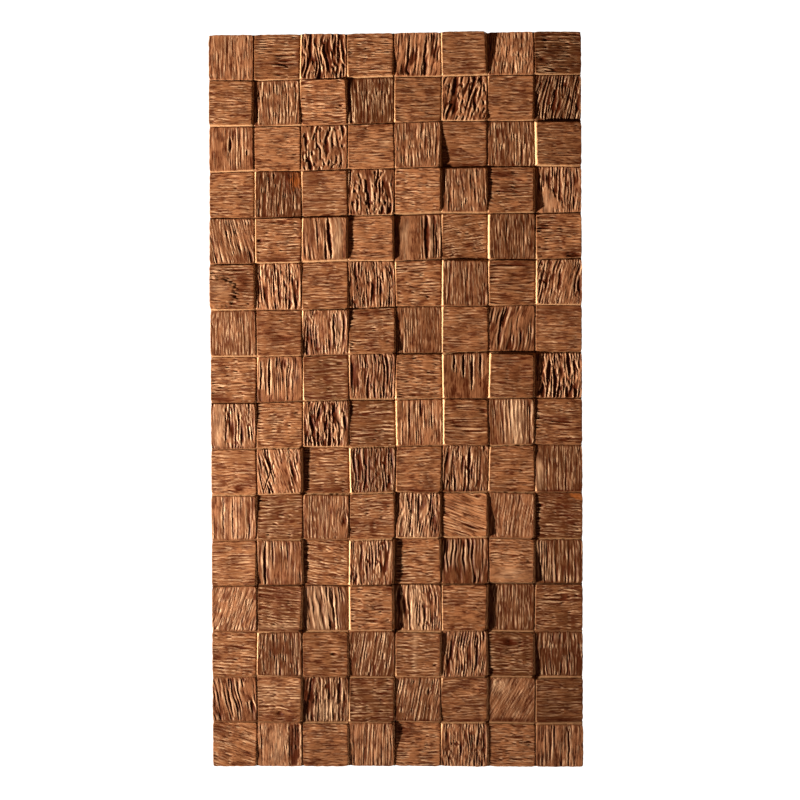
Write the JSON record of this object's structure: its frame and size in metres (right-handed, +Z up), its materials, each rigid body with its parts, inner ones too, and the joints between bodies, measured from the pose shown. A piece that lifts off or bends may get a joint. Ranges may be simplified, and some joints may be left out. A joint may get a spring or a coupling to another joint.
{
  "type": "wall panel",
  "caption": "Cast polyurethane wall panel formed as a mosaic of rough sawn wood blocks at uneven heights, with a flat back that is glued to a wall.",
  "frame": {"origin": "centre of the flat back face", "axes": "+Z up the panel's length, +X across its width, and +Y out of the back into the wall, so the wood blocks face -Y"},
  "size_m": [0.6, 0.0301, 1.184],
  "materials": {
    "painted_polyurethane": "satin brown paint, glazed dark in the grain and rubbed lighter on the ridges and edges"
  },
  "bodies": {
    "root": {"wall_panel": "painted_polyurethane"}
  },
  "joints": []
}
